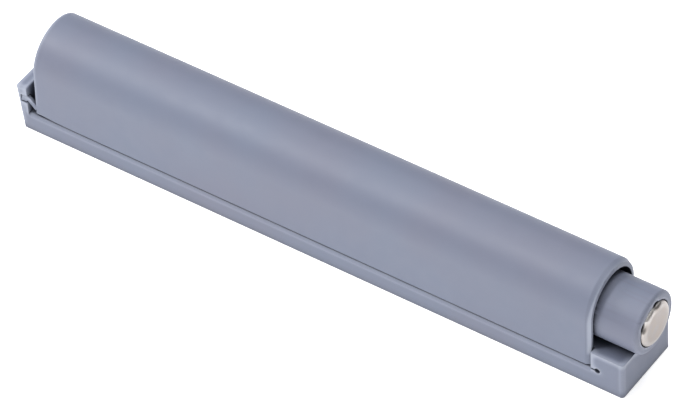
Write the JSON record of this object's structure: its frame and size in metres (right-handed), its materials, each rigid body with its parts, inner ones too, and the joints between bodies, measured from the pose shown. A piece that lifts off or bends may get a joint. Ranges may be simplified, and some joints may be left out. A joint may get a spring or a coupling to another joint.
{
  "type": "push to open catch",
  "caption": "Surface-mounted magnetic push to open catch: long arched housing clipped over a screw-on base, with a sprung round plunger held by a heart cam.",
  "frame": {"origin": "on the underside of the base plate, midway between its two screw holes", "axes": "+X along the plunger towards its tip, +Z away from the panel the base is screwed to, +Y completes a right-handed set"},
  "size_m": [0.1081, 0.0126, 0.0179],
  "materials": {
    "grey_plastic": "fine satin moulding, dove grey",
    "white_plastic": "natural low-friction moulding",
    "steel": "bright spring and rod steel",
    "nickel_plate": "satin nickel plating"
  },
  "bodies": {
    "body": {"base_plate": "grey_plastic", "housing": "grey_plastic", "rear_block": "white_plastic", "guide_rod": "steel", "spring_washer": "steel", "main_spring": "steel", "follower_wire": "steel"},
    "plunger": {"plunger": "grey_plastic", "cam_slide": "white_plastic", "magnet": "nickel_plate", "keeper_plate": "steel", "pole_plate": "nickel_plate"}
  },
  "joints": [
    {"name": "plunger_slide", "type": "slide", "parent": "body", "child": "plunger", "axis": [1, 0, 0], "range_m": [-0.003, 0.032], "stiffness_N_per_m": 60, "springref_m": 0.04, "deforming": ["main_spring", "follower_wire"]}
  ]
}
